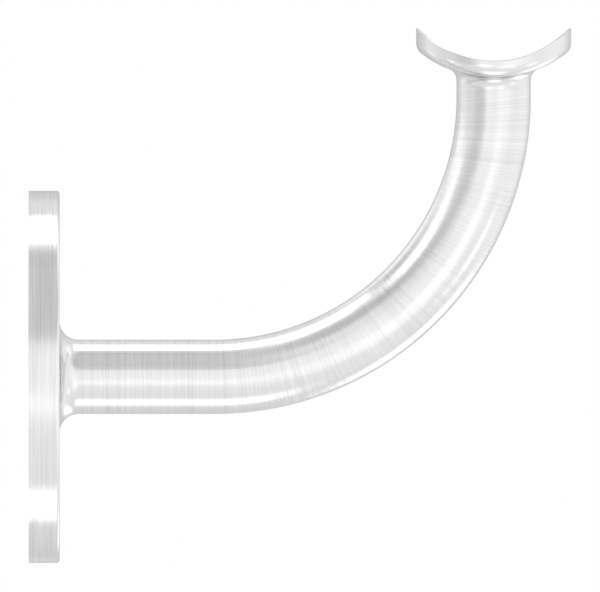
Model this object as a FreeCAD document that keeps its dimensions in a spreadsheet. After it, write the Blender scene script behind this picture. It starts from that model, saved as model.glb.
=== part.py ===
import FreeCAD, Part

import math
import os

import Sketcher

# Handrail bracket: a round wall plate, a solid bar bent through a quarter turn and a dished
# saddle for the rail tube, joined by two dressed fillet welds. Stainless steel, no moving parts.
#
# Frame, in mm: the origin is the centre of the plate's back face, against the wall. +X points
# out of the wall, +Z is up, and the rail runs along Y.

# name, value, what it is
DIMENSIONS = [
    ("plate_dia", 60, "wall plate, diameter"),
    ("plate_thick", 5, "wall plate, thickness"),
    ("plate_edge_round", 0.5, "wall plate, rounding of the front edge"),
    ("screw_circle_dia", 42, "pitch circle of the wall screws"),
    ("screw_count", 3, "number of wall screws"),
    ("screw_hole_dia", 6.5, "clearance hole for a 6 mm screw"),
    ("countersink_dia", 12.5, "countersink at the plate's front face"),
    ("countersink_angle", 90, "included angle of the countersink"),
    ("bar_dia", 12, "round bar, diameter"),
    ("bend_radius", 45, "round bar, centreline radius of the bend"),
    ("wall_to_rail", 75, "wall to the rail's centreline"),
    ("rail_dia", 33.7, "rail tube that the saddle fits, outside diameter"),
    ("seat_height", 51, "bar's lower centreline to the bottom of the seat"),
    ("saddle_dia", 25, "saddle, diameter seen from above"),
    ("saddle_thick", 2.7, "saddle, thickness of the strip"),
    ("strip_half_angle", 60, "saddle's curved strip before it is trimmed, half its arc"),
    ("saddle_under_round", 2, "saddle, rounding of the lower edge"),
    ("saddle_lip_round", 0.2, "saddle, rounding of the upper edge"),
    ("base_weld_radius", 3, "fillet weld between bar and plate"),
    ("saddle_weld_radius", 2, "fillet weld between bar and saddle"),
]

EDGE_TOLERANCE = 1e-4


def make_sheet(doc):
    """The driving dimensions: column A the name, B the value, C what it is."""
    sheet = doc.addObject("Spreadsheet::Sheet", "Dimensions")
    for row, (name, value, meaning) in enumerate(DIMENSIONS, start=1):
        sheet.set(f"A{row}", name)
        sheet.set(f"B{row}", str(value))
        sheet.set(f"C{row}", meaning)
        sheet.setAlias(f"B{row}", name)
    doc.recompute()
    return sheet


def make_body(doc, label):
    body = doc.addObject("PartDesign::Body", label)
    body.Label = label
    return body


def origin_item(body, role):
    """An origin plane or axis of the body, by its role: XY_Plane, X_Axis and so on."""
    return next(item for item in body.Origin.OriginFeatures if item.Role == role)


def make_sketch(body, name, role, offset=None):
    """A sketch on one of the body's origin planes, moved along its normal by an expression."""
    sketch = body.newObject("Sketcher::SketchObject", name)
    sketch.AttachmentSupport = [(origin_item(body, role), "")]
    sketch.MapMode = "FlatFace"
    if offset:
        sketch.setExpression("AttachmentOffset.Base.z", offset)
    return sketch


def constrain(sketch, *geometry_rules):
    """Geometric rules between a sketch's lines, arcs and points."""
    for rule in geometry_rules:
        sketch.addConstraint(Sketcher.Constraint(*rule))


def dimension(sketch, name, rule, expression):
    """A dimension of a sketch, driven by the sheet."""
    index = sketch.addConstraint(Sketcher.Constraint(*rule))
    sketch.renameConstraint(index, name)
    sketch.setExpression(f"Constraints.{name}", expression)


def circle_sketch(body, name, role, diameter, offset=None):
    """A sketch of one circle about the plane's origin."""
    sketch = make_sketch(body, name, role, offset)
    sketch.addGeometry(Part.Circle(FreeCAD.Vector(), FreeCAD.Vector(0, 0, 1), 10), False)
    constrain(sketch, ("Coincident", 0, 3, -1, 1))
    dimension(sketch, "diameter", ("Diameter", 0, 20), diameter)
    return sketch


def edges_at(feature, is_wanted):
    """Names of the feature's edges whose middle point passes the test."""
    names = []
    for index, edge in enumerate(feature.Shape.Edges, start=1):
        middle = edge.valueAt((edge.FirstParameter + edge.LastParameter) / 2)
        if is_wanted(middle):
            names.append(f"Edge{index}")
    return names


def add_fillet(body, name, base, edge_names, radius):
    fillet = body.newObject("PartDesign::Fillet", name)
    fillet.Base = (base, edge_names)
    fillet.setExpression("Radius", radius)
    return fillet


def check_removes_metal(cut, before):
    """A pocket or hole that points away from the metal raises nothing, so volumes are compared."""
    if cut.Shape.Volume > before.Shape.Volume - EDGE_TOLERANCE:
        raise RuntimeError(f"{cut.Label} removes nothing")


def make_base_plate(doc, sheet):
    """Turned disc with its front edge eased and countersunk screw holes, two up and one down."""
    body = make_body(doc, "base_plate")
    disc = body.newObject("PartDesign::Pad", "PlateDisc")
    disc.Profile = circle_sketch(body, "PlateOutline", "YZ_Plane", "Dimensions.plate_dia")
    disc.setExpression("Length", "Dimensions.plate_thick")
    doc.recompute()

    front_edge = edges_at(disc, lambda middle: abs(middle.x - sheet.plate_thick) < EDGE_TOLERANCE)
    eased = add_fillet(body, "PlateFrontEdge", disc, front_edge, "Dimensions.plate_edge_round")

    centre = make_sketch(body, "ScrewCentre", "YZ_Plane", "Dimensions.plate_thick")
    centre.addGeometry(Part.Circle(FreeCAD.Vector(0, -20), FreeCAD.Vector(0, 0, 1), 3), False)
    constrain(centre, ("PointOnObject", 0, 3, -2))
    dimension(centre, "pitch_radius", ("DistanceY", 0, 3, -1, 1, 20), "Dimensions.screw_circle_dia / 2")
    dimension(centre, "hole_dia", ("Diameter", 0, 6), "Dimensions.screw_hole_dia")
    doc.recompute()

    hole = body.newObject("PartDesign::Hole", "ScrewHole")
    hole.Profile = centre
    hole.DepthType = "ThroughAll"
    hole.ThreadType = "None"
    hole.HoleCutType = "Countersink"
    hole.HoleCutCustomValues = True
    hole.setExpression("Diameter", "Dimensions.screw_hole_dia")
    hole.setExpression("HoleCutDiameter", "Dimensions.countersink_dia")
    hole.setExpression("HoleCutCountersinkAngle", "Dimensions.countersink_angle")
    doc.recompute()
    check_removes_metal(hole, eased)

    holes = body.newObject("PartDesign::PolarPattern", "ScrewHoles")
    holes.Originals = [hole]
    holes.Axis = (origin_item(body, "X_Axis"), [""])
    holes.Angle = 360
    holes.setExpression("Occurrences", "Dimensions.screw_count")
    body.Tip = holes
    doc.recompute()
    check_removes_metal(holes, hole)
    return body


def make_bar_path(body):
    """Centreline of the bar: straight out of the plate, a quarter turn, straight up."""
    path = make_sketch(body, "BarPath", "XZ_Plane")
    bend = Part.Circle(FreeCAD.Vector(25, 45), FreeCAD.Vector(0, 0, 1), 45)
    path.addGeometry(Part.LineSegment(FreeCAD.Vector(0, 0), FreeCAD.Vector(25, 0)), False)
    path.addGeometry(Part.ArcOfCircle(bend, math.radians(-90), 0), False)
    path.addGeometry(Part.LineSegment(FreeCAD.Vector(70, 45), FreeCAD.Vector(70, 51)), False)
    constrain(
        path,
        ("Coincident", 0, 1, -1, 1),
        ("Horizontal", 0),
        ("Tangent", 0, 2, 1, 1),
        ("Tangent", 1, 2, 2, 1),
        ("Vertical", 2),
    )
    dimension(path, "bend_radius", ("Radius", 1, 45), "Dimensions.bend_radius")
    dimension(
        path,
        "reach",
        ("DistanceX", -1, 1, 2, 2, 70),
        "Dimensions.wall_to_rail - Dimensions.plate_thick",
    )
    dimension(path, "rise", ("DistanceY", -1, 1, 2, 2, 51), "Dimensions.seat_height")
    return path


def make_bent_bar(doc):
    """Round bar swept along its path, its top end coped to the saddle's underside."""
    body = make_body(doc, "bent_bar")
    body.setExpression("Placement.Base.x", "Dimensions.plate_thick")
    bar = body.newObject("PartDesign::AdditivePipe", "BarSweep")
    bar.Profile = circle_sketch(body, "BarSection", "YZ_Plane", "Dimensions.bar_dia")
    bar.Spine = make_bar_path(body)
    doc.recompute()

    underside = make_sketch(body, "SaddleUnderside", "XZ_Plane")
    underside.addGeometry(
        Part.Circle(FreeCAD.Vector(70, 68), FreeCAD.Vector(0, 0, 1), 20), False
    )
    dimension(
        underside,
        "reach",
        ("DistanceX", -1, 1, 0, 3, 70),
        "Dimensions.wall_to_rail - Dimensions.plate_thick",
    )
    dimension(
        underside,
        "rail_centre",
        ("DistanceY", -1, 1, 0, 3, 68),
        "Dimensions.seat_height + Dimensions.rail_dia / 2",
    )
    dimension(
        underside,
        "underside_dia",
        ("Diameter", 0, 40),
        "Dimensions.rail_dia + 2 * Dimensions.saddle_thick",
    )
    cope = body.newObject("PartDesign::Pocket", "BarCope")
    cope.Profile = underside
    cope.Type = "ThroughAll"
    cope.SideType = "Symmetric"
    doc.recompute()
    check_removes_metal(cope, bar)
    return body


def rim_edges(feature, sheet, bend_radius):
    """The saddle's rim edges that lie on the face bent to this radius about the rail."""

    def on_rim(middle):
        from_rail = math.hypot(middle.x, middle.z)
        from_middle = math.hypot(middle.x, middle.y)
        on_face = abs(from_rail - bend_radius) < EDGE_TOLERANCE
        return on_face and abs(from_middle - sheet.saddle_dia / 2) < EDGE_TOLERANCE

    return edges_at(feature, on_rim)


def make_saddle(doc, sheet):
    """Strip curved to the rail, trimmed to a round disc, its rim eased above and below."""
    body = make_body(doc, "saddle")
    body.setExpression("Placement.Base.x", "Dimensions.wall_to_rail")
    body.setExpression("Placement.Base.z", "Dimensions.seat_height + Dimensions.rail_dia / 2")

    section = make_sketch(body, "CurvedStripSection", "XZ_Plane")
    add_strip_section(section)
    strip = body.newObject("PartDesign::Pad", "CurvedStrip")
    strip.Profile = section
    strip.SideType = "Symmetric"
    strip.setExpression("Length", "Dimensions.saddle_dia")
    doc.recompute()

    outside = circle_sketch(body, "DiscOutline", "XY_Plane", "Dimensions.saddle_dia")
    outside.addGeometry(Part.Circle(FreeCAD.Vector(), FreeCAD.Vector(0, 0, 1), 30), False)
    constrain(outside, ("Coincident", 1, 3, 0, 3))
    dimension(outside, "waste_dia", ("Diameter", 1, 60), "2 * Dimensions.saddle_dia")
    disc = body.newObject("PartDesign::Pocket", "DiscTrim")
    disc.Profile = outside
    disc.Type = "ThroughAll"
    disc.SideType = "Symmetric"
    doc.recompute()
    check_removes_metal(disc, strip)

    seat_radius = sheet.rail_dia / 2
    lip = add_fillet(
        body,
        "SaddleLip",
        disc,
        rim_edges(disc, sheet, seat_radius),
        "Dimensions.saddle_lip_round",
    )
    doc.recompute()
    add_fillet(
        body,
        "SaddleUnderEdge",
        lip,
        rim_edges(lip, sheet, seat_radius + sheet.saddle_thick),
        "Dimensions.saddle_under_round",
    )
    doc.recompute()
    return body


def add_strip_section(section):
    """Ring sector about the rail's centreline, open at the top and wider than the disc."""
    centre = FreeCAD.Vector()
    axis = FreeCAD.Vector(0, 0, 1)
    start = math.radians(210)
    end = math.radians(330)
    outer = Part.ArcOfCircle(Part.Circle(centre, axis, 20), start, end)
    inner = Part.ArcOfCircle(Part.Circle(centre, axis, 17), start, end)
    section.addGeometry(outer, False)
    section.addGeometry(inner, False)
    section.addGeometry(Part.LineSegment(outer.StartPoint, inner.StartPoint), False)
    section.addGeometry(Part.LineSegment(outer.EndPoint, inner.EndPoint), False)
    constrain(
        section,
        ("Coincident", 0, 3, -1, 1),
        ("Coincident", 1, 3, -1, 1),
        ("Coincident", 2, 1, 0, 1),
        ("Coincident", 2, 2, 1, 1),
        ("Coincident", 3, 1, 0, 2),
        ("Coincident", 3, 2, 1, 2),
        ("PointOnObject", -1, 1, 2),
        ("PointOnObject", -1, 1, 3),
        ("Symmetric", 0, 1, 0, 2, -2),
    )
    dimension(section, "seat_dia", ("Diameter", 1, 34), "Dimensions.rail_dia")
    dimension(
        section,
        "underside_dia",
        ("Diameter", 0, 40),
        "Dimensions.rail_dia + 2 * Dimensions.saddle_thick",
    )
    dimension(
        section,
        "half_angle",
        ("Angle", -2, 2, 3, 2, math.radians(60)),
        "Dimensions.strip_half_angle * 1 deg",
    )


def make_base_weld(doc):
    """Concave fillet weld turned about the bar, from the plate's face to the bar's side."""
    body = make_body(doc, "base_weld")
    body.setExpression("Placement.Base.x", "Dimensions.plate_thick")
    bead = make_sketch(body, "BaseWeldSection", "XZ_Plane")
    hollow = Part.Circle(FreeCAD.Vector(3, 9), FreeCAD.Vector(0, 0, 1), 3)
    bead.addGeometry(Part.LineSegment(FreeCAD.Vector(3, 6), FreeCAD.Vector(0, 6)), False)
    bead.addGeometry(Part.LineSegment(FreeCAD.Vector(0, 6), FreeCAD.Vector(0, 9)), False)
    bead.addGeometry(Part.ArcOfCircle(hollow, math.radians(180), math.radians(270)), False)
    constrain(
        bead,
        ("Horizontal", 0),
        ("Coincident", 0, 2, 1, 1),
        ("Tangent", 1, 2, 2, 1),
        ("Tangent", 2, 2, 0, 1),
        ("PointOnObject", 0, 2, -2),
        ("PointOnObject", 1, 2, -2),
    )
    dimension(bead, "bar_side", ("DistanceY", -1, 1, 0, 2, 6), "Dimensions.bar_dia / 2")
    dimension(bead, "hollow", ("Radius", 2, 3), "Dimensions.base_weld_radius")
    ring = body.newObject("PartDesign::Revolution", "BaseWeldRing")
    ring.Profile = bead
    ring.ReferenceAxis = (origin_item(body, "X_Axis"), [""])
    ring.Angle = 360
    doc.recompute()
    return body


def make_saddle_weld(doc, sheet, bar, saddle):
    """Concave fillet weld rolled along the seam of bar and saddle, less those two."""
    joined = doc.addObject("Part::Fuse", "BarAndSaddle")
    joined.Base = bar
    joined.Tool = saddle
    doc.recompute()

    underside_radius = sheet.rail_dia / 2 + sheet.saddle_thick
    rail_height = sheet.seat_height + sheet.rail_dia / 2

    def on_seam(middle):
        from_upright = math.hypot(middle.x - sheet.wall_to_rail, middle.y)
        from_rail = math.hypot(middle.x - sheet.wall_to_rail, middle.z - rail_height)
        on_bar = abs(from_upright - sheet.bar_dia / 2) < EDGE_TOLERANCE
        return on_bar and abs(from_rail - underside_radius) < EDGE_TOLERANCE

    blended = doc.addObject("Part::Fillet", "BlendedSeam")
    blended.Base = joined
    radius = sheet.saddle_weld_radius
    seam = [int(name.removeprefix("Edge")) for name in edges_at(joined, on_seam)]
    blended.Edges = [(number, radius, radius) for number in seam]
    weld = doc.addObject("Part::Cut", "saddle_weld")
    weld.Label = "saddle_weld"
    weld.Base = blended
    weld.Tool = joined
    doc.recompute()
    return weld


def check_document(doc, pieces):
    """A failed object raises nothing by itself, so every state and shape is read."""
    for item in doc.Objects:
        if "Invalid" in item.State or "Error" in item.State:
            raise RuntimeError(f"{item.Label} failed: {item.State}")
    for piece in pieces:
        shape = piece.Shape
        if shape.isNull() or not shape.isValid() or len(shape.Solids) != 1:
            raise RuntimeError(f"{piece.Label} is not one valid solid")


def export_pieces(pieces):
    os.makedirs("parts", exist_ok=True)
    for piece in pieces:
        piece.Shape.exportStep(f"parts/{piece.Label}.step")
        print(f"{piece.Label}: {piece.Shape.Volume:.1f} mm3")


def build_bracket():
    doc = FreeCAD.newDocument("HandrailBracket")
    sheet = make_sheet(doc)
    plate = make_base_plate(doc, sheet)
    bar = make_bent_bar(doc)
    saddle = make_saddle(doc, sheet)
    base_weld = make_base_weld(doc)
    saddle_weld = make_saddle_weld(doc, sheet, bar, saddle)
    pieces = [plate, bar, saddle, base_weld, saddle_weld]
    check_document(doc, pieces)
    export_pieces(pieces)


build_bracket()
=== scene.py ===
import math

import bpy
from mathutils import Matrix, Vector


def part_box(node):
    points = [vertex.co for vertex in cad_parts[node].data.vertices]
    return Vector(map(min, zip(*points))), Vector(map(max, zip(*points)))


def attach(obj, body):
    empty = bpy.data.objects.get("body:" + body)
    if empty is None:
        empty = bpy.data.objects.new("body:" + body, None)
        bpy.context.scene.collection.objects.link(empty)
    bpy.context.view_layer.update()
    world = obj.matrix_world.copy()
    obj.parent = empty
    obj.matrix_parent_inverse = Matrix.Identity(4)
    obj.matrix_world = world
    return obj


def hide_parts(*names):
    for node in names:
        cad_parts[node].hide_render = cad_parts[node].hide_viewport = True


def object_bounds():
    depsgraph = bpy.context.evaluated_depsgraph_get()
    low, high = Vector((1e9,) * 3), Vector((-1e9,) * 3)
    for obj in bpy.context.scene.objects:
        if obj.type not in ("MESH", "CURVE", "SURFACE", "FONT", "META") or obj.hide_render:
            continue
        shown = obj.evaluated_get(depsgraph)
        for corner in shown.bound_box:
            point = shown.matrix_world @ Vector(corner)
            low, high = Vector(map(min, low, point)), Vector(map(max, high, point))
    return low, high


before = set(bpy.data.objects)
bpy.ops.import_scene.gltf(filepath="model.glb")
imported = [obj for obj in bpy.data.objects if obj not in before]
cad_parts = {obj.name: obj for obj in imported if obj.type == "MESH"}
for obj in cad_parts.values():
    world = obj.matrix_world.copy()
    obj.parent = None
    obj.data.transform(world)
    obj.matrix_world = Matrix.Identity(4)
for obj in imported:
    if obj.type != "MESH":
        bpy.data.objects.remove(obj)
cad_box = [list(corner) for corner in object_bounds()]

# Handrail bracket for a wall: turned wall plate, bent round bar, dished saddle, two dressed welds.
# Satin stainless steel throughout. Metres, the same frame as the solids: the wall is the plane
# x = 0, +Z is up and the rail runs along Y.


# ---------------------------------------------------------------------------------------------
# Wall plate: a disc turned from 5 mm stainless sheet, with three countersunk screw holes.
# Its rim and faces are brushed while it spins, so the lines run round its own axis.
# ---------------------------------------------------------------------------------------------

STEEL_COLOUR = (0.82, 0.82, 0.82)
STEEL_GRAZING_TINT = (0.86, 0.86, 0.86, 1.0)
SATIN_ROUGHNESS = 0.18

# fine, middling and broad lines: their width in line spacings, and their share of the brushing
LINE_LAYERS = ((1.0, 1.0), (2.7, 0.5), (7.5, 0.3))
WANDERS_PER_METRE = 120.0
NOISE_MIDDLE = 0.5

# deeper scratches: their distance in line spacings, how narrow, and how much painted highlight and
# painted shade their two sides get
SCRATCH_SPACING = 9.0
SCRATCH_WIDTH = 0.03
SCRATCH_PAINTED_LIGHT = 0.5

# scratches come in patches, where a slower noise, shifted away from their own, is high enough
PATCH_SCALE = 0.35
PATCH_SHIFT = (7.0, 3.0, 5.0)
PATCH_BEGINS = 0.5
PATCH_IS_FULL = 0.62


class Nodes:
    """Adds nodes to one node tree, wiring plain numbers, vectors or other nodes' outputs."""

    # a Mix node has sockets for every kind of value: each kind's two inputs and its output
    MIX_SOCKETS = {"FLOAT": (2, 3, 0), "VECTOR": (4, 5, 1)}

    def __init__(self, tree):
        self.tree = tree

    def add(self, kind, **settings):
        node = self.tree.nodes.new(kind)
        for name, value in settings.items():
            setattr(node, name, value)
        return node

    def feed(self, socket, value):
        if isinstance(value, bpy.types.NodeSocket):
            self.tree.links.new(value, socket)
        else:
            socket.default_value = value

    def math(self, operation, *values):
        node = self.add("ShaderNodeMath", operation=operation)
        for socket, value in zip(node.inputs, values):
            self.feed(socket, value)
        return node.outputs[0]

    def vector_math(self, operation, *values):
        node = self.add("ShaderNodeVectorMath", operation=operation)
        for socket, value in zip(node.inputs, values):
            self.feed(socket, value)
        return node.outputs["Value" if operation in ("DOT_PRODUCT", "LENGTH") else "Vector"]

    def scale(self, vector, factor):
        node = self.add("ShaderNodeVectorMath", operation="SCALE")
        self.feed(node.inputs[0], vector)
        self.feed(node.inputs["Scale"], factor)
        return node.outputs["Vector"]

    def split(self, vector):
        node = self.add("ShaderNodeSeparateXYZ")
        self.feed(node.inputs[0], vector)
        return node.outputs

    def join(self, x, y, z):
        node = self.add("ShaderNodeCombineXYZ")
        for socket, value in zip(node.inputs, (x, y, z)):
            self.feed(socket, value)
        return node.outputs[0]

    def ramp(self, value, low, high, to_low=0.0, to_high=1.0, kind="SMOOTHSTEP"):
        node = self.add("ShaderNodeMapRange", interpolation_type=kind)
        for name, number in (
            ("Value", value),
            ("From Min", low),
            ("From Max", high),
            ("To Min", to_low),
            ("To Max", to_high),
        ):
            self.feed(node.inputs[name], number)
        return node.outputs["Result"]

    def mix(self, kind, share, first, second):
        node = self.add("ShaderNodeMix", data_type=kind)
        first_input, second_input, output = self.MIX_SOCKETS[kind]
        self.feed(node.inputs["Factor"], share)
        self.feed(node.inputs[first_input], first)
        self.feed(node.inputs[second_input], second)
        return node.outputs[output]

    def noise(self, vector, scale=1.0, detail=0.0):
        """Outputs of a noise from 0 to 1: Fac is one value, Color holds three separate ones."""
        node = self.add("ShaderNodeTexNoise", noise_dimensions="3D")
        self.feed(node.inputs["Vector"], vector)
        self.feed(node.inputs["Scale"], scale)
        self.feed(node.inputs["Detail"], detail)
        return node.outputs


def new_shader_group(name, inputs, outputs):
    """The nodes of a new, empty shader group with these named inputs and outputs."""
    group = bpy.data.node_groups.new(name, "ShaderNodeTree")
    for in_out, sockets in (("INPUT", inputs), ("OUTPUT", outputs)):
        for label, kind in sockets.items():
            group.interface.new_socket(label, in_out=in_out, socket_type="NodeSocket" + kind)
    return Nodes(group)


def add_lines(nodes, across, along_y, along_z):
    """Fine, middling and broad lines in one: their shade, and how they lean two ways."""
    total = (0.0, 0.0, 0.0)
    for width, weight in LINE_LAYERS:
        place = nodes.join(nodes.math("DIVIDE", across, width), along_y, along_z)
        layer = nodes.vector_math("SUBTRACT", nodes.noise(place)["Color"], (NOISE_MIDDLE,) * 3)
        total = nodes.vector_math("ADD", total, nodes.scale(layer, weight))
    return nodes.split(total)


def add_scratches(nodes, across, along_y, along_z):
    """Now and then a deeper scratch, positive on one side and negative on the other: it leans the
    normal, and it also paints a highlight on the one side and shade on the other.
    """
    place = nodes.join(nodes.math("DIVIDE", across, SCRATCH_SPACING), along_y, along_z)
    from_middle = nodes.math("SUBTRACT", nodes.noise(place)["Fac"], NOISE_MIDDLE)
    from_middle = nodes.math("DIVIDE", from_middle, SCRATCH_WIDTH)
    within = nodes.math("SUBTRACT", 1.0, nodes.math("MULTIPLY", from_middle, from_middle))
    scratch = nodes.math("MULTIPLY", nodes.math("MAXIMUM", within, 0.0), from_middle)
    patch = nodes.vector_math("ADD", nodes.scale(place, PATCH_SCALE), PATCH_SHIFT)
    patch = nodes.ramp(nodes.noise(patch)["Fac"], PATCH_BEGINS, PATCH_IS_FULL)
    return nodes.math("MULTIPLY", scratch, patch)


def make_brush_group():
    """Lines left by an abrasive belt. Grain is the place on the metal: X across, Y and Z along.

    Shade is a lightness factor round 1: the lines' own random tone, with a painted highlight and
    painted shade on the two sides of each deeper scratch. Normal leans a little from line to line,
    both ways.
    """
    nodes = new_shader_group(
        "Brush lines",
        {
            "Grain": "Vector",
            "Across": "Vector",
            "Line Spacing": "Float",
            "Line Length": "Float",
            "Waver": "Float",
            "Contrast": "Float",
            "Lean": "Float",
            "Ripple": "Float",
            "Scratches": "Float",
        },
        {"Shade": "Float", "Normal": "Vector"},
    )
    given = nodes.add("NodeGroupInput").outputs
    across, along_y, along_z = nodes.split(given["Grain"])

    # the belt is held by hand, so a line wanders a little on its way
    wander = nodes.noise(given["Grain"], WANDERS_PER_METRE, detail=1.0)["Fac"]
    wander = nodes.math("SUBTRACT", wander, NOISE_MIDDLE)
    across = nodes.math("ADD", across, nodes.math("MULTIPLY", wander, given["Waver"]))
    across = nodes.math("DIVIDE", across, given["Line Spacing"])

    # a noise is weak near whole numbers, and the bar is so thin beside the length of its lines
    # that it would stay close to 0: half a step keeps it well away
    along_y = nodes.math("ADD", nodes.math("DIVIDE", along_y, given["Line Length"]), 0.5)
    along_z = nodes.math("ADD", nodes.math("DIVIDE", along_z, given["Line Length"]), 0.5)
    shade, lean_across, lean_along = add_lines(nodes, across, along_y, along_z)
    scratch = add_scratches(nodes, across, along_y, along_z)
    scratch = nodes.math("MULTIPLY", scratch, given["Scratches"])

    # the scratches' two sides go into the colour too: a painted highlight on one side, painted
    # shade on the other
    shade = nodes.math("ADD", shade, nodes.math("MULTIPLY", scratch, SCRATCH_PAINTED_LIGHT))
    shade = nodes.math("MULTIPLY", shade, given["Contrast"])
    result = nodes.add("NodeGroupOutput").inputs
    nodes.feed(result["Shade"], nodes.math("ADD", shade, 1.0))

    straight = nodes.add("ShaderNodeNewGeometry").outputs["Normal"]
    along = nodes.vector_math("CROSS_PRODUCT", straight, given["Across"])
    lean_across = nodes.math("MULTIPLY", nodes.math("ADD", lean_across, scratch), given["Lean"])
    lean_along = nodes.math("MULTIPLY", lean_along, given["Ripple"])
    leant = nodes.vector_math("ADD", straight, nodes.scale(given["Across"], lean_across))
    leant = nodes.vector_math("ADD", leant, nodes.scale(along, lean_along))
    nodes.feed(result["Normal"], nodes.vector_math("NORMALIZE", leant))
    return nodes.tree


BRUSH_LINES = make_brush_group()


def brushed_steel(name, grain, across, spread, **brushing):
    """Satin stainless steel. grain and across are functions that add their nodes.

    spread is how much wider a highlight gets across the lines than along them. All else goes
    to the input of that name in the Brush lines group.
    """
    material = bpy.data.materials.new(name)
    material.use_nodes = True
    nodes = Nodes(material.node_tree)
    shader = material.node_tree.nodes["Principled BSDF"]
    across = across(nodes)
    lines = nodes.add("ShaderNodeGroup", node_tree=BRUSH_LINES)
    nodes.feed(lines.inputs["Grain"], grain(nodes))
    nodes.feed(lines.inputs["Across"], across)
    for label, value in brushing.items():
        nodes.feed(lines.inputs[label.replace("_", " ").title()], value)
    shade = lines.outputs["Shade"]
    # the base colour carries the lines' random tone and the scratches' painted highlight and
    # painted shade
    nodes.feed(shader.inputs["Base Color"], nodes.scale(STEEL_COLOUR, shade))
    nodes.feed(shader.inputs["Roughness"], nodes.math("MULTIPLY", shade, SATIN_ROUGHNESS))
    nodes.feed(shader.inputs["Normal"], lines.outputs["Normal"])
    nodes.feed(shader.inputs["Tangent"], across)
    shader.inputs["Metallic"].default_value = 1.0
    shader.inputs["Anisotropic"].default_value = spread
    shader.inputs["Specular Tint"].default_value = STEEL_GRAZING_TINT
    return material


def object_place(nodes):
    return nodes.add("ShaderNodeTexCoord").outputs["Object"]


def turned_grain(nodes):
    """Rings about the plate's axis: X grows across the rim and then across the faces."""
    x, y, z = nodes.split(object_place(nodes))
    from_axis = nodes.vector_math("LENGTH", nodes.join(0.0, y, z))
    return nodes.join(nodes.math("ADD", x, from_axis), y, z)


def across_rings(nodes):
    """Square to the rings: along the axis on the rim, outwards on the faces."""
    _, y, z = nodes.split(object_place(nodes))
    outwards = nodes.vector_math("NORMALIZE", nodes.join(0.0, y, z))
    return nodes.vector_math("ADD", outwards, (1.0, 0.0, 0.0))


def finish_node(node, material):
    """A solid whose shape is right keeps it, and takes its finish here."""
    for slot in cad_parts[node].material_slots:
        slot.material = material


turned_steel = brushed_steel(
    "turned_plate_steel",
    turned_grain,
    across_rings,
    spread=0.6,
    line_spacing=0.0003,
    line_length=0.016,
    waver=0.0,
    contrast=0.2,
    lean=0.08,
    ripple=0.03,
    scratches=0.0,
)
finish_node("base_plate", turned_steel)


# ---------------------------------------------------------------------------------------------
# Bent bar: solid 12 mm round bar, bent once and brushed with a belt wrapped round it, which
# leaves fine rings square to its path. Its top end is coped to the underside of the saddle.
# ---------------------------------------------------------------------------------------------

BAR_STEPS_ALONG = 240
BAR_STEPS_AROUND = 96
BAR_STEPS_ACROSS_END = 6
SHARP_EDGE_ANGLE = math.radians(40)

_, plate_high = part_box("base_plate")
_, bar_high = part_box("bent_bar")
saddle_low, saddle_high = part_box("saddle")

bar_radius = bar_high.y
upright_x = (saddle_low.x + saddle_high.x) / 2
bend_radius = 0.045
first_run = upright_x - bend_radius - plate_high.x
last_run = bar_high.z - bend_radius

# the rail is a tube, and the saddle's strip lies between it and the bar
rail_diameter = 0.0337
strip_thickness = 0.0027
seat_height = 0.051
seat_radius = rail_diameter / 2
underside_radius = seat_radius + strip_thickness
rail_height = seat_height + seat_radius

# how far along the bar the belt begins to slant, where it slants fully, and how much
slant_start = 0.03
slant_end = 0.09
slant_slope = 0.12


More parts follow.
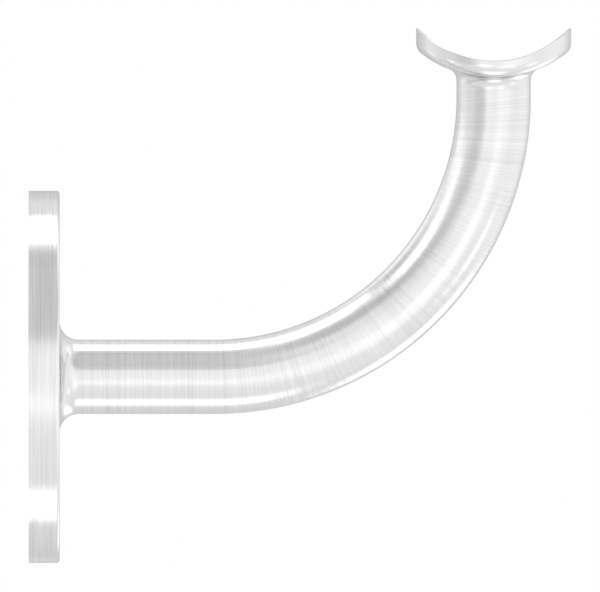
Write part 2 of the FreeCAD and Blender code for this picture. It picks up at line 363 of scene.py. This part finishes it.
class GeometryNodes(Nodes):
    """The same short calls for a geometry tree with named inputs."""

    def __init__(self, name, inputs):
        tree = bpy.data.node_groups.new(name, "GeometryNodeTree")
        super().__init__(tree)
        self.inputs = {}
        for label, value in inputs.items():
            kind = "NodeSocketInt" if isinstance(value, int) else "NodeSocketFloat"
            socket = tree.interface.new_socket(label, in_out="INPUT", socket_type=kind)
            socket.default_value = value
            self.inputs[socket.identifier] = value
        tree.interface.new_socket("Geometry", in_out="OUTPUT", socket_type="NodeSocketGeometry")
        self.given = self.add("NodeGroupInput").outputs

    def position(self):
        return self.split(self.add("GeometryNodeInputPosition").outputs["Position"])

    def store(self, geometry, name, kind, value):
        node = self.add("GeometryNodeStoreNamedAttribute", data_type=kind, domain="POINT")
        self.feed(node.inputs["Geometry"], geometry)
        node.inputs["Name"].default_value = name
        self.feed(node.inputs["Value"], value)
        return node.outputs["Geometry"]

    def read(self, name, kind):
        node = self.add("GeometryNodeInputNamedAttribute", data_type=kind)
        node.inputs["Name"].default_value = name
        return node.outputs["Attribute"]

    def move(self, geometry, position):
        node = self.add("GeometryNodeSetPosition")
        self.feed(node.inputs["Geometry"], geometry)
        self.feed(node.inputs["Position"], position)
        return node.outputs["Geometry"]

    def close(self, geometry, material):
        """Smooth faces, crisp edges, real geometry and one material."""
        angle = self.add("GeometryNodeInputMeshEdgeAngle").outputs["Unsigned Angle"]
        is_smooth = self.math("LESS_THAN", angle, SHARP_EDGE_ANGLE)
        smooth = self.add("GeometryNodeSetShadeSmooth", domain="EDGE")
        self.feed(smooth.inputs["Geometry"], geometry)
        self.feed(smooth.inputs["Shade Smooth"], is_smooth)
        real = self.add("GeometryNodeRealizeInstances")
        self.feed(real.inputs["Geometry"], smooth.outputs["Geometry"])
        painted = self.add("GeometryNodeSetMaterial")
        self.feed(painted.inputs["Geometry"], real.outputs["Geometry"])
        painted.inputs["Material"].default_value = material
        result = self.add("NodeGroupOutput")
        self.feed(result.inputs["Geometry"], painted.outputs["Geometry"])

    def make_piece(self, name):
        """Runs the tree once and keeps the result as a plain mesh."""
        mesh = bpy.data.meshes.new(name + "_start")
        maker = bpy.data.objects.new(name + "_start", mesh)
        bpy.context.scene.collection.objects.link(maker)
        modifier = maker.modifiers.new(name, "NODES")
        modifier.node_group = self.tree
        for identifier, value in self.inputs.items():
            modifier[identifier] = value
        made = maker.evaluated_get(bpy.context.evaluated_depsgraph_get())
        final = bpy.data.meshes.new_from_object(made)
        final.name = name
        piece = bpy.data.objects.new(name, final)
        bpy.context.scene.collection.objects.link(piece)
        bpy.data.objects.remove(maker)
        bpy.data.meshes.remove(mesh)
        return piece


def stored(nodes, name):
    """What the mesh stores under that name, for a material to read."""
    return nodes.add("ShaderNodeAttribute", attribute_name=name).outputs


def bar_grain(nodes):
    """The place on the bar as it was before bending: X along its length, Y and Z in its section.

    The belt comes round a little aslant once the bend begins, so its lines lean there.
    """
    length, sideways, inwards = nodes.split(stored(nodes, "grain")["Vector"])
    slope = nodes.ramp(length, slant_start, slant_end, 0.0, slant_slope)
    along = nodes.math("MULTIPLY_ADD", inwards, slope, length)
    return nodes.join(along, sideways, inwards)


def along_bar(nodes):
    """Square to the rings the belt leaves: the way the bar runs."""
    return stored(nodes, "run")["Vector"]


def bent_bar_tree(material):
    """A straight bar, bent by its own length, with its top end coped to the saddle."""
    nodes = GeometryNodes(
        "Bent bar",
        {
            "Start": plate_high.x,
            "First Run": first_run,
            "Bend Radius": bend_radius,
            "Last Run": last_run,
            "Bar Radius": bar_radius,
            "Cope Radius": underside_radius,
            "Cope Height": rail_height,
            "Steps Along": BAR_STEPS_ALONG,
            "Steps Around": BAR_STEPS_AROUND,
            "Steps Across End": BAR_STEPS_ACROSS_END,
        },
    )
    given = nodes.given
    quarter_turn = math.pi / 2
    arc = nodes.math("MULTIPLY", given["Bend Radius"], quarter_turn)
    before_upright = nodes.math("ADD", given["First Run"], arc)
    whole = nodes.math("ADD", before_upright, given["Last Run"])

    straight = nodes.add("GeometryNodeMeshCylinder", fill_type="TRIANGLE_FAN")
    nodes.feed(straight.inputs["Vertices"], given["Steps Around"])
    nodes.feed(straight.inputs["Side Segments"], given["Steps Along"])
    nodes.feed(straight.inputs["Fill Segments"], given["Steps Across End"])
    nodes.feed(straight.inputs["Radius"], given["Bar Radius"])
    nodes.feed(straight.inputs["Depth"], whole)
    sideways, inwards, from_middle = nodes.position()
    length = nodes.math("MULTIPLY_ADD", whole, 0.5, from_middle)
    grain = nodes.join(length, sideways, inwards)
    mesh = nodes.store(straight.outputs["Mesh"], "grain", "FLOAT_VECTOR", grain)

    # out of the plate, round a quarter turn, then straight up
    length, sideways, inwards = nodes.split(nodes.read("grain", "FLOAT_VECTOR"))
    turned = nodes.math("SUBTRACT", length, given["First Run"])
    turned = nodes.math("DIVIDE", turned, given["Bend Radius"])
    turned = nodes.ramp(turned, 0.0, quarter_turn, 0.0, quarter_turn, "LINEAR")
    sine, cosine = nodes.math("SINE", turned), nodes.math("COSINE", turned)
    mesh = nodes.store(mesh, "run", "FLOAT_VECTOR", nodes.join(cosine, 0.0, sine))

    # the last run is stretched until its end fits the round underside of the saddle
    drop = nodes.math("MULTIPLY", given["Cope Radius"], given["Cope Radius"])
    drop = nodes.math("SUBTRACT", drop, nodes.math("MULTIPLY", inwards, inwards))
    underside = nodes.math("SUBTRACT", given["Cope Height"], nodes.math("SQRT", drop))
    fitted_run = nodes.math("SUBTRACT", underside, given["Bend Radius"])
    upright = nodes.math("SUBTRACT", length, before_upright)
    upright = nodes.math("DIVIDE", upright, given["Last Run"])
    upright = nodes.math("MULTIPLY", nodes.math("MAXIMUM", upright, 0.0), fitted_run)

    level = nodes.math("ADD", given["Start"], nodes.math("MINIMUM", length, given["First Run"]))
    to_centre = nodes.math("SUBTRACT", given["Bend Radius"], inwards)
    x = nodes.math("MULTIPLY_ADD", sine, to_centre, level)
    rise = nodes.math("SUBTRACT", given["Bend Radius"], nodes.math("MULTIPLY", cosine, to_centre))
    mesh = nodes.move(mesh, nodes.join(x, sideways, nodes.math("ADD", rise, upright)))
    nodes.close(mesh, material)
    return nodes


bar_steel = brushed_steel(
    "brushed_bar_steel",
    bar_grain,
    along_bar,
    spread=0.6,
    line_spacing=0.00018,
    line_length=0.05,
    waver=0.0002,
    contrast=0.15,
    lean=0.09,
    ripple=0.02,
    # scratches lean the normal, and also paint a highlight and shade on their two sides
    scratches=1.0,
)
bent_bar = bent_bar_tree(bar_steel).make_piece("bent_bar_brushed")
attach(bent_bar, "root")
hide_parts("bent_bar")


# ---------------------------------------------------------------------------------------------
# Saddle: a 2.7 mm strip pressed to the curve of the rail tube and trimmed round. The rim is
# belt-finished going round it; the seat and the underside keep the lines of the strip.
# ---------------------------------------------------------------------------------------------

SADDLE_STEPS_AROUND = 288
SADDLE_STEPS_PER_STRETCH = 12
SADDLE_STRETCHES = 5
RIM_STRETCHES = 3

# points on the very edge of the rim are the rim's, and points this close together become one
EDGE_ALLOWANCE = 1e-4
SEAM_GAP = 1e-7

# how far the ground edges are rounded, and about how far down one stretch of the rim reaches
lip_round = 0.0002
under_round = 0.002
rim_stretch_height = 0.0015


def below_rail(nodes, radius, x):
    """The height, down from the rail's axis, of the round face of that radius at this x."""
    drop = nodes.math("MULTIPLY", radius, radius)
    drop = nodes.math("SUBTRACT", drop, nodes.math("MULTIPLY", x, x))
    return nodes.math("MULTIPLY", nodes.math("SQRT", drop), -1.0)


def rolled_edge(nodes, cosine, sine, rim, face, ball, side):
    """Where a ball rolling along the rim sits, and its two directions of touch.

    The ball touches the upright rim and a round face. All three are given by their radius.
    side is 1 where the metal lies outside that face, -1 where it lies inside.
    """
    reach = nodes.math("SUBTRACT", rim, ball)
    x = nodes.math("MULTIPLY", reach, cosine)
    y = nodes.math("MULTIPLY", reach, sine)
    orbit = nodes.math("MULTIPLY_ADD", ball, side, face)
    z = below_rail(nodes, orbit, x)
    to_rim = nodes.join(cosine, sine, 0.0)
    to_face = nodes.vector_math("NORMALIZE", nodes.scale(nodes.join(x, 0.0, z), -side))
    return nodes.join(x, y, z), to_rim, to_face


def rounded(nodes, centre, radius, first, last, share):
    """A point on the ball, on the way from its first touch to its last."""
    first = nodes.scale(first, nodes.math("SUBTRACT", 1.0, share))
    heading = nodes.vector_math("ADD", first, nodes.scale(last, share))
    heading = nodes.vector_math("NORMALIZE", heading)
    return nodes.vector_math("ADD", centre, nodes.scale(heading, radius))


def on_face(nodes, touch, share, radius):
    """A point of a round face, part of the way out from the middle to the rounded edge."""
    x, y, _ = nodes.split(nodes.scale(touch, share))
    return nodes.join(x, y, below_rail(nodes, radius, x))


def pick(nodes, number, points):
    """The point of that number in the list."""
    choice = nodes.add("GeometryNodeIndexSwitch", data_type="VECTOR")
    nodes.feed(choice.inputs["Index"], number)
    while len(choice.index_switch_items) < len(points):
        choice.index_switch_items.new()
    for socket, point in zip(choice.inputs[1:], points):
        nodes.feed(socket, point)
    return choice.outputs[0]


def saddle_tree(material):
    """A sheet wrapped once round the saddle and down over it, closed at both poles."""
    nodes = GeometryNodes(
        "Saddle",
        {
            "Seat Radius": seat_radius,
            "Underside Radius": underside_radius,
            "Rim Radius": (saddle_high.y - saddle_low.y) / 2,
            "Lip Round": lip_round,
            "Under Round": under_round,
            "Steps Around": SADDLE_STEPS_AROUND + 1,
            "Steps Down": SADDLE_STRETCHES * SADDLE_STEPS_PER_STRETCH + 1,
        },
    )
    given = nodes.given
    sheet = nodes.add("GeometryNodeMeshGrid")
    sheet.inputs["Size X"].default_value = 1.0
    sheet.inputs["Size Y"].default_value = 1.0
    nodes.feed(sheet.inputs["Vertices X"], given["Steps Around"])
    nodes.feed(sheet.inputs["Vertices Y"], given["Steps Down"])
    along_sheet, down_sheet, _ = nodes.position()

    # once round, the way that turns the faces outwards, and down through seat, lip, rim, lower
    # rounding and underside
    turn = nodes.math("MULTIPLY", nodes.math("ADD", along_sheet, 0.5), -2 * math.pi)
    cosine, sine = nodes.math("COSINE", turn), nodes.math("SINE", turn)
    down = nodes.math("ADD", down_sheet, 0.5)
    down = nodes.math("MULTIPLY", down, float(SADDLE_STRETCHES))
    stretch = nodes.math("MINIMUM", nodes.math("FLOOR", down), SADDLE_STRETCHES - 1.0)
    share = nodes.math("SUBTRACT", down, stretch)
    rest = nodes.math("SUBTRACT", 1.0, share)

    rim, lip, under = given["Rim Radius"], given["Lip Round"], given["Under Round"]
    seat, underside = given["Seat Radius"], given["Underside Radius"]
    lip_centre, to_rim, to_seat = rolled_edge(nodes, cosine, sine, rim, seat, lip, 1.0)
    under_centre, _, to_underside = rolled_edge(nodes, cosine, sine, rim, underside, under, -1.0)
    seat_touch = nodes.vector_math("ADD", lip_centre, nodes.scale(to_seat, lip))
    under_touch = nodes.vector_math("ADD", under_centre, nodes.scale(to_underside, under))
    rim_top = nodes.vector_math("ADD", lip_centre, nodes.scale(to_rim, lip))
    rim_bottom = nodes.vector_math("ADD", under_centre, nodes.scale(to_rim, under))
    stretches = (
        on_face(nodes, seat_touch, share, seat),
        rounded(nodes, lip_centre, lip, to_seat, to_rim, share),
        nodes.vector_math("ADD", nodes.scale(rim_top, rest), nodes.scale(rim_bottom, share)),
        rounded(nodes, under_centre, under, to_rim, to_underside, share),
        on_face(nodes, under_touch, rest, underside),
    )
    point = pick(nodes, stretch, stretches)

    # the three middle stretches, lip to lower rounding, are the rim
    from_middle = nodes.math("ABSOLUTE", nodes.math("SUBTRACT", down, SADDLE_STRETCHES / 2))
    is_rim = nodes.math("LESS_THAN", from_middle, RIM_STRETCHES / 2 + EDGE_ALLOWANCE)
    mesh = nodes.store(sheet.outputs["Mesh"], "rim", "FLOAT", is_rim)
    mesh = nodes.store(mesh, "down", "FLOAT", down)
    mesh = nodes.move(mesh, nodes.vector_math("ADD", point, (upright_x, 0.0, rail_height)))
    joined = nodes.add("GeometryNodeMergeByDistance")
    nodes.feed(joined.inputs["Geometry"], mesh)
    joined.inputs["Distance"].default_value = SEAM_GAP
    nodes.close(joined.outputs["Geometry"], material)
    return nodes


def on_rim(nodes):
    """1 on the rim, 0 on seat and underside."""
    return nodes.math("GREATER_THAN", stored(nodes, "rim")["Fac"], 0.5)


def saddle_grain(nodes):
    """Lines round the rim, and lines along the rail on seat and underside."""
    x, y, _ = nodes.split(object_place(nodes))
    strip = nodes.join(x, y, 0.0)
    down = nodes.math("MULTIPLY", stored(nodes, "down")["Fac"], rim_stretch_height)
    rim = nodes.join(down, x, y)
    return nodes.mix("VECTOR", on_rim(nodes), strip, rim)


def across_saddle_lines(nodes):
    """Down the rim, and across the strip on seat and underside."""
    from_axis = nodes.vector_math("SUBTRACT", object_place(nodes), (upright_x, 0.0, 0.0))
    x, y, _ = nodes.split(from_axis)
    normal = nodes.add("ShaderNodeNewGeometry").outputs["Normal"]
    around = nodes.join(nodes.math("MULTIPLY", y, -1.0), x, 0.0)
    down_rim = nodes.vector_math("NORMALIZE", nodes.vector_math("CROSS_PRODUCT", around, normal))
    across_strip = nodes.vector_math("CROSS_PRODUCT", (0.0, 1.0, 0.0), normal)
    return nodes.mix("VECTOR", on_rim(nodes), across_strip, down_rim)


saddle_steel = brushed_steel(
    "saddle_steel",
    saddle_grain,
    across_saddle_lines,
    spread=0.5,
    line_spacing=0.0002,
    line_length=0.006,
    waver=0.0004,
    contrast=0.06,
    lean=0.04,
    ripple=0.02,
    scratches=0.0,
)
saddle = saddle_tree(saddle_steel).make_piece("saddle_brushed")
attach(saddle, "root")
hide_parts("saddle")


# ---------------------------------------------------------------------------------------------
# Fillet welds: beads laid where the bar meets plate and saddle, dressed hollow and polished,
# so they show smooth highlights and no brush lines.
# ---------------------------------------------------------------------------------------------

MOTTLES_PER_METRE = 900.0
MOTTLE_DETAIL = 3.0
MOTTLE_DEPTH = 0.000004
MOTTLE_RANGE = (0.3, 0.7)
WELD_ROUGHNESS = (0.2, 0.25)
WELD_SHADE = (0.985, 1.015)


def polished_weld_steel():
    """Stainless steel with a faint mottle left by the polishing mop."""
    material = bpy.data.materials.new("dressed_weld_steel")
    material.use_nodes = True
    nodes = Nodes(material.node_tree)
    shader = material.node_tree.nodes["Principled BSDF"]
    mottle = nodes.noise(object_place(nodes), MOTTLES_PER_METRE, MOTTLE_DETAIL)["Fac"]
    roughness = nodes.ramp(mottle, *MOTTLE_RANGE, *WELD_ROUGHNESS, "LINEAR")
    nodes.feed(shader.inputs["Roughness"], roughness)
    shade = nodes.ramp(mottle, *MOTTLE_RANGE, *WELD_SHADE, "LINEAR")
    nodes.feed(shader.inputs["Base Color"], nodes.scale(STEEL_COLOUR, shade))
    bump = nodes.add("ShaderNodeBump")
    bump.inputs["Distance"].default_value = MOTTLE_DEPTH
    nodes.feed(bump.inputs["Height"], mottle)
    nodes.feed(shader.inputs["Normal"], bump.outputs["Normal"])
    shader.inputs["Metallic"].default_value = 1.0
    shader.inputs["Specular Tint"].default_value = STEEL_GRAZING_TINT
    return material


weld_steel = polished_weld_steel()
for weld in ("base_weld", "saddle_weld"):
    finish_node(weld, weld_steel)


# ---------------------------------------------------------------------------------------------
# Studio: a white light tent with soft lamps and grey cards round it, and a pale floor under the
# bracket that keeps its shadow and fades out into the white.
# ---------------------------------------------------------------------------------------------

WHITE = (1.0, 1.0, 1.0, 1.0)
TENT_LEVEL = 0.88
TENT_RISE_TO_CAMERA = 0.10
TENT_RISE_TO_RIGHT = 0.09
LEAST_DEPTH = 0.01

FLOOR_COLOUR = (0.93, 0.93, 0.93, 1.0)
FLOOR_GAP = 0.02
FLOOR_RADIUS = 0.30
FLOOR_CORNERS = 64
FLOOR_FADE_FROM = 0.3

# Where a panel stands is given by two angles in degrees, seen from the bracket: round the line of
# sight from +X towards +Z, and away from the camera. Then half its size round and outwards, its
# soft margin, all in degrees too, and its brightness. A later panel covers an earlier one.
PANELS = [
    # walls of the tent to the left and right, and its far end
    (180, 108, 40, 26, 16, 0.87),
    (0, 108, 34, 26, 16, 1.04),
    (90, 180, 20, 15, 10, 0.70),
    (180, 172, 12, 12, 8, 0.60),
    # white card round the camera
    (0, 0, 15, 15, 10, 1.03),
    (-90, 14, 13, 7, 7, 1.10),
    # grey cards from the left over the top to the right, on the camera's side
    (173, 45, 18, 16, 11, 0.71),
    (145, 50, 10, 10, 6, 0.66),
    (123, 62, 14, 14, 6, 0.58),
    (105, 65, 8, 9, 5, 0.66),
    (85, 54, 11, 31, 5, 0.67),
    (88, 79, 10, 6, 4, 0.62),
    (62, 48, 12, 18, 6, 0.58),
    (66, 74, 10, 7, 5, 0.74),
    (47, 64, 7, 9, 5, 0.77),
    # soft lamps to the right and below, on the camera's side
    (10, 33, 17, 20, 14, 1.13),
    (-38, 28, 8, 11, 7, 1.40),
    (-47, 42, 6, 8, 6, 1.25),
    (-134, 22, 11, 9, 7, 1.48),
    (-60, 30, 8, 10, 7, 1.22),
    # long lamps over the bracket, with one grey card between them
    (95, 135, 24, 10, 6, 0.91),
    (100, 106, 27, 13.5, 4, 1.80),
    (114, 96, 10, 11, 3.5, 1.70),
    (143, 83, 9, 13, 4, 1.55),
    (136, 112, 7, 11, 5, 0.62),
    (156, 89, 11, 12, 7, 1.34),
    (166, 108, 8, 14, 8, 1.20),
    (46, 99, 10, 18, 6, 1.22),
    # lamps under the bracket
    (-88, 158, 14, 8, 6, 0.86),
    (-90, 87, 13, 12, 7, 1.65),
    (-50, 126, 13, 15, 7, 1.57),
    (-30, 75, 7, 7, 5, 1.40),
    (-152, 84, 8, 10, 7, 1.80),
    (-165, 116, 9, 7, 7, 1.12),
    # one lamp behind, up to the left
    (142, 138, 12, 14, 10, 1.15),
]


def make_panel_group():
    """A soft rectangle of light as seen from the bracket: 1 inside, 0 outside."""
    nodes = new_shader_group(
        "Soft panel",
        {
            "Look": "Vector",
            "Aim": "Vector",
            "Across": "Vector",
            "Half Width": "Float",
            "Half Height": "Float",
            "Margin": "Float",
        },
        {"Inside": "Float"},
    )
    given = nodes.add("NodeGroupInput").outputs
    depth = nodes.vector_math("DOT_PRODUCT", given["Look"], given["Aim"])
    inside = nodes.math("GREATER_THAN", depth, LEAST_DEPTH)
    depth = nodes.math("MAXIMUM", depth, LEAST_DEPTH)
    upwards = nodes.vector_math("CROSS_PRODUCT", given["Aim"], given["Across"])
    for axis, half in ((given["Across"], "Half Width"), (upwards, "Half Height")):
        offset = nodes.vector_math("DOT_PRODUCT", given["Look"], axis)
        offset = nodes.math("ARCTAN2", nodes.math("ABSOLUTE", offset), depth)
        outer = nodes.math("ADD", given[half], given["Margin"])
        inner = nodes.math("SUBTRACT", given[half], given["Margin"])
        inside = nodes.math("MULTIPLY", inside, nodes.ramp(offset, outer, inner))
    nodes.feed(nodes.add("NodeGroupOutput").inputs["Inside"], inside)
    return nodes.tree


def hang_panel(nodes, group, look, level, panel):
    """The tent's level with one more panel in front of it."""
    *angles, brightness = panel
    around, away, half_width, half_height, margin = map(math.radians, angles)
    aim = (math.sin(away) * math.cos(around), -math.cos(away), math.sin(away) * math.sin(around))
    node = nodes.add("ShaderNodeGroup", node_tree=group)
    nodes.feed(node.inputs["Look"], look)
    node.inputs["Aim"].default_value = aim
    node.inputs["Across"].default_value = (-math.sin(around), 0.0, math.cos(around))
    node.inputs["Half Width"].default_value = half_width
    node.inputs["Half Height"].default_value = half_height
    node.inputs["Margin"].default_value = margin
    return nodes.mix("FLOAT", node.outputs["Inside"], level, brightness)


def make_tent():
    world = bpy.data.worlds.new("White studio")
    bpy.context.scene.world = world
    world.use_nodes = True
    world.node_tree.nodes.clear()
    nodes = Nodes(world.node_tree)
    look = nodes.add("ShaderNodeTexCoord").outputs["Generated"]

    # the tent is a little brighter by the camera and to the right
    to_right, away, _ = nodes.split(look)
    level = nodes.math("MULTIPLY_ADD", away, -TENT_RISE_TO_CAMERA, TENT_LEVEL)
    level = nodes.math("MULTIPLY_ADD", to_right, TENT_RISE_TO_RIGHT, level)
    group = make_panel_group()
    for panel in PANELS:
        level = hang_panel(nodes, group, look, level, panel)

    # metal and glass see the tent itself, the picture a plain white, all else a plain level
    rays = nodes.add("ShaderNodeLightPath").outputs
    mirrored = nodes.math("MAXIMUM", rays["Is Glossy Ray"], rays["Is Transmission Ray"])
    strength = nodes.mix("FLOAT", mirrored, TENT_LEVEL, level)
    strength = nodes.mix("FLOAT", rays["Is Camera Ray"], strength, 1.0)
    tent = nodes.add("ShaderNodeBackground")
    tent.inputs["Color"].default_value = WHITE
    nodes.feed(tent.inputs["Strength"], strength)
    nodes.feed(nodes.add("ShaderNodeOutputWorld").inputs["Surface"], tent.outputs[0])


def pale_floor_paint(middle):
    """Matt and nearly white. It fades out towards its edge and doesn't show from below."""
    material = bpy.data.materials.new("pale_floor")
    material.use_nodes = True
    nodes = Nodes(material.node_tree)
    shader = material.node_tree.nodes["Principled BSDF"]
    shader.inputs["Base Color"].default_value = FLOOR_COLOUR
    shader.inputs["Roughness"].default_value = 0.9
    shader.inputs["Specular IOR Level"].default_value = 0.0
    x, y, _ = nodes.split(nodes.vector_math("SUBTRACT", object_place(nodes), tuple(middle)))
    from_middle = nodes.vector_math("LENGTH", nodes.join(x, y, 0.0))
    solid = nodes.ramp(from_middle, FLOOR_RADIUS, FLOOR_RADIUS * FLOOR_FADE_FROM)
    from_below = nodes.add("ShaderNodeNewGeometry").outputs["Backfacing"]
    solid = nodes.math("MULTIPLY", solid, nodes.math("SUBTRACT", 1.0, from_below))
    nodes.feed(shader.inputs["Alpha"], solid)
    return material


def make_floor():
    (left, _, bottom), (right, _, _) = cad_box
    middle = Vector(((left + right) / 2, 0.0, bottom - FLOOR_GAP))
    ring = []
    for corner in range(FLOOR_CORNERS):
        angle = 2 * math.pi * corner / FLOOR_CORNERS
        ring.append(middle + FLOOR_RADIUS * Vector((math.cos(angle), math.sin(angle), 0.0)))
    mesh = bpy.data.meshes.new("floor")
    mesh.from_pydata(ring, [], [list(range(FLOOR_CORNERS))])
    mesh.materials.append(pale_floor_paint(middle))
    floor = bpy.data.objects.new("floor", mesh)
    floor.visible_glossy = False
    bpy.context.scene.collection.objects.link(floor)


def make_camera():
    """Square to the bracket's side, far off behind a long lens, a little to the left and above."""
    lens = 1500.0
    sensor = 36.0
    view_width = 0.09677
    aim = Vector((0.04376, 0.0, 0.01304))
    standpoint = Vector((0.004, -view_width * lens / sensor, 0.035))
    data = bpy.data.cameras.new("camera")
    data.lens = lens
    data.sensor_width = sensor
    data.clip_start = 0.1
    data.clip_end = 10.0
    camera = bpy.data.objects.new("camera", data)
    camera.location = standpoint
    camera.rotation_mode = "QUATERNION"
    camera.rotation_quaternion = (aim - standpoint).to_track_quat("-Z", "Y")
    bpy.context.scene.collection.objects.link(camera)
    bpy.context.scene.camera = camera


make_tent()
make_floor()
make_camera()
bpy.context.scene.view_settings.view_transform = "Standard"
